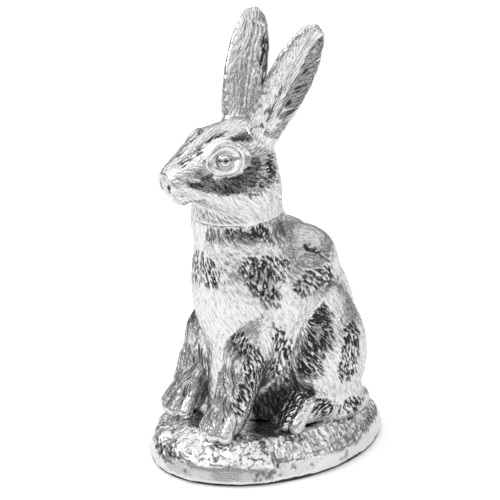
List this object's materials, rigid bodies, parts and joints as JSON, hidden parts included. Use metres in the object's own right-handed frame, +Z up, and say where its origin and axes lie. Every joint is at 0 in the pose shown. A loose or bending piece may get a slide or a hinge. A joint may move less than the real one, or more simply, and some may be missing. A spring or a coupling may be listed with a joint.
{
  "type": "sitting hare ornament",
  "caption": "Sitting hare ornament in bright antiqued silver metal on an oval ground plinth, with upright ears, chased fur and a felt base.",
  "frame": {"origin": "centre of the felt's underside, on the surface that the ornament stands on", "axes": "+Z up; the hare faces -Y; its own left side is +X"},
  "size_m": [0.105, 0.141, 0.24],
  "materials": {
    "antique_silver": "bright polished cast metal with dark patina left in the chased grooves",
    "polished_silver": "mirror polished",
    "steel_fixings": "zinc plated",
    "steel_plate": "rolled sheet, brushed",
    "black_felt": "matt wool felt"
  },
  "bodies": {
    "root": {"plinth": "antique_silver", "torso": "antique_silver", "head": "antique_silver", "left_ear": "antique_silver", "right_ear": "antique_silver", "left_foreleg": "antique_silver", "right_foreleg": "antique_silver", "left_haunch": "antique_silver", "right_haunch": "antique_silver", "left_hind_foot": "antique_silver", "right_hind_foot": "antique_silver", "tail": "antique_silver", "left_eye": "polished_silver", "right_eye": "polished_silver", "neck_pins": "steel_fixings", "torso_screws": "steel_fixings", "limb_screws": "steel_fixings", "washers": "steel_fixings", "base_plate_screws": "steel_fixings", "base_plate": "steel_plate", "felt_pad": "black_felt"}
  },
  "joints": []
}
